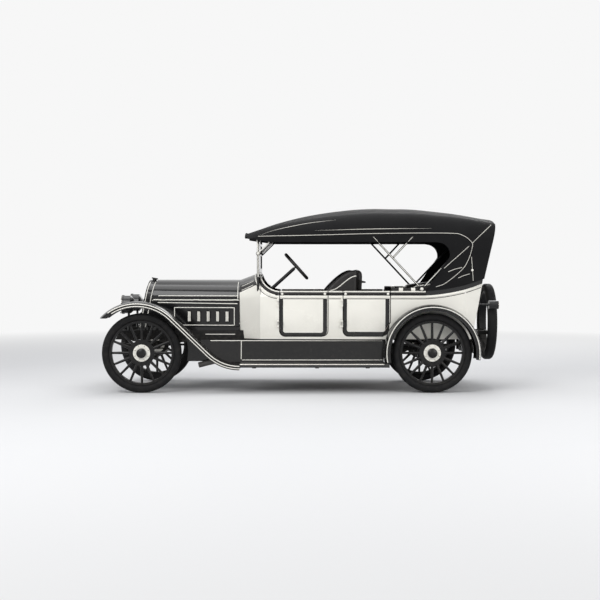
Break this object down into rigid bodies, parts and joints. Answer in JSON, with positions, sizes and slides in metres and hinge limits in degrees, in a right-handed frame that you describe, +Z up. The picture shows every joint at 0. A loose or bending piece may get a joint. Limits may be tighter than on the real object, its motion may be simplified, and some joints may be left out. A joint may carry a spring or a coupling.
{
  "type": "vintage touring car",
  "caption": "Open touring car of about 1913 with a raised folding top, long louvred hood, sweeping fenders, running boards, wooden wheels and an upright spare at the back.",
  "frame": {"origin": "on the ground, halfway along and across the car", "axes": "+X towards the rear, -Y towards the driver's side, +Z up; the car faces -X"},
  "size_m": [4.61, 1.7, 2.143],
  "materials": {
    "tyre": "matte",
    "wheel_wood": "gloss paint",
    "hub_paint": "gloss",
    "chassis_black": "satin",
    "engine_iron": "rough",
    "black_enamel": "gloss",
    "radiator_core": "dull",
    "ivory_enamel": "gloss",
    "board_rubber": "ribbed",
    "floor_wood": "oiled",
    "screen_wood": "varnished",
    "glass": "clear",
    "leather": "buffed",
    "top_canvas": "woven",
    "iron_black": "satin",
    "wheel_rim_wood": "varnished"
  },
  "bodies": {
    "chassis": {"spare_tyre": "tyre", "frame": "chassis_black", "front_axle": "chassis_black", "front_springs": "chassis_black", "rear_springs": "chassis_black", "rear_axle": "chassis_black", "spare_carrier": "chassis_black", "fuel_tank": "chassis_black", "engine": "engine_iron", "exhaust": "engine_iron", "radiator_shell": "black_enamel", "hood_top": "black_enamel", "hood_sills": "black_enamel", "fender_front_left": "black_enamel", "fender_front_right": "black_enamel", "fender_rear_left": "black_enamel", "fender_rear_right": "black_enamel", "splash_aprons": "black_enamel", "headlamps": "black_enamel", "tail_lamp": "black_enamel", "radiator_core": "radiator_core", "cowl": "ivory_enamel", "body_tub": "ivory_enamel", "running_boards": "board_rubber", "floor": "floor_wood", "windshield_frame": "screen_wood", "windshield_glass": "glass", "front_seat": "leather", "rear_seat": "leather", "top_canopy": "top_canvas", "top_irons": "iron_black", "steering_column": "iron_black"},
    "knuckle_left": {"knuckle_left": "chassis_black"},
    "knuckle_right": {"knuckle_right": "chassis_black"},
    "tie_rod": {"tie_rod": "chassis_black"},
    "steering_wheel": {"steering_wheel": "wheel_rim_wood"},
    "door_front_left": {"door_front_left": "ivory_enamel"},
    "door_front_right": {"door_front_right": "ivory_enamel"},
    "door_rear_left": {"door_rear_left": "ivory_enamel"},
    "door_rear_right": {"door_rear_right": "ivory_enamel"},
    "hood_side_left": {"hood_side_left": "black_enamel"},
    "hood_side_right": {"hood_side_right": "black_enamel"},
    "wheel_front_left": {"tyre_front_left": "tyre", "wheel_front_left": "wheel_wood", "hub_front_left": "hub_paint"},
    "wheel_front_right": {"tyre_front_right": "tyre", "wheel_front_right": "wheel_wood", "hub_front_right": "hub_paint"},
    "wheel_rear_left": {"tyre_rear_left": "tyre", "wheel_rear_left": "wheel_wood", "hub_rear_left": "hub_paint"},
    "wheel_rear_right": {"tyre_rear_right": "tyre", "wheel_rear_right": "wheel_wood", "hub_rear_right": "hub_paint"}
  },
  "joints": [
    {"name": "steer_left", "type": "hinge", "parent": "chassis", "child": "knuckle_left", "pos_m": [-1.835, -0.629, 0.457], "axis": [0, 0, 1], "range_deg": [-30, 30]},
    {"name": "steer_right", "type": "hinge", "parent": "chassis", "child": "knuckle_right", "pos_m": [-1.835, 0.629, 0.457], "axis": [0, 0, 1], "range_deg": [-30, 30]},
    {"name": "tie_rod_pivot", "type": "hinge", "parent": "knuckle_left", "child": "tie_rod", "pos_m": [-1.685, -0.629, 0.396], "axis": [0, 0, 1], "range_deg": [-30, 30]},
    {"name": "steering_wheel_turn", "type": "hinge", "parent": "chassis", "child": "steering_wheel", "pos_m": [-0.057, -0.31, 1.452], "axis": [0.7431, 0, 0.6691], "range_deg": [-240, 240]},
    {"name": "spin_front_left", "type": "hinge", "parent": "knuckle_left", "child": "wheel_front_left", "pos_m": [-1.835, -0.711, 0.457], "axis": [0, 1, 0], "continuous": true},
    {"name": "spin_front_right", "type": "hinge", "parent": "knuckle_right", "child": "wheel_front_right", "pos_m": [-1.835, 0.711, 0.457], "axis": [0, 1, 0], "continuous": true},
    {"name": "spin_rear_left", "type": "hinge", "parent": "chassis", "child": "wheel_rear_left", "pos_m": [1.505, -0.711, 0.457], "axis": [0, 1, 0], "continuous": true},
    {"name": "spin_rear_right", "type": "hinge", "parent": "chassis", "child": "wheel_rear_right", "pos_m": [1.505, 0.711, 0.457], "axis": [0, 1, 0], "continuous": true},
    {"name": "door_front_left_swing", "type": "hinge", "parent": "chassis", "child": "door_front_left", "pos_m": [-0.251, -0.58016, 0.9], "axis": [0, 0, -1], "range_deg": [0, 70]},
    {"name": "door_front_right_swing", "type": "hinge", "parent": "chassis", "child": "door_front_right", "pos_m": [-0.251, 0.58016, 0.9], "axis": [0, 0, 1], "range_deg": [0, 70]},
    {"name": "door_rear_left_swing", "type": "hinge", "parent": "chassis", "child": "door_rear_left", "pos_m": [0.484, -0.60579, 0.9], "axis": [0, 0, -1], "range_deg": [0, 70]},
    {"name": "door_rear_right_swing", "type": "hinge", "parent": "chassis", "child": "door_rear_right", "pos_m": [0.484, 0.60579, 0.9], "axis": [0, 0, 1], "range_deg": [0, 70]},
    {"name": "hood_left_lift", "type": "hinge", "parent": "chassis", "child": "hood_side_left", "pos_m": [-1.245, -0.34059, 1.056], "axis": [-0.9968, 0.0803, 0], "range_deg": [0, 110]},
    {"name": "hood_right_lift", "type": "hinge", "parent": "chassis", "child": "hood_side_right", "pos_m": [-1.245, 0.34059, 1.056], "axis": [0.9968, 0.0803, 0], "range_deg": [0, 110]}
  ],
  "couplings": [
    {"joint": "steer_right", "follows": "steer_left", "ratio": 1},
    {"joint": "tie_rod_pivot", "follows": "steer_left", "ratio": -1},
    {"joint": "steering_wheel_turn", "follows": "steer_left", "ratio": 8}
  ]
}
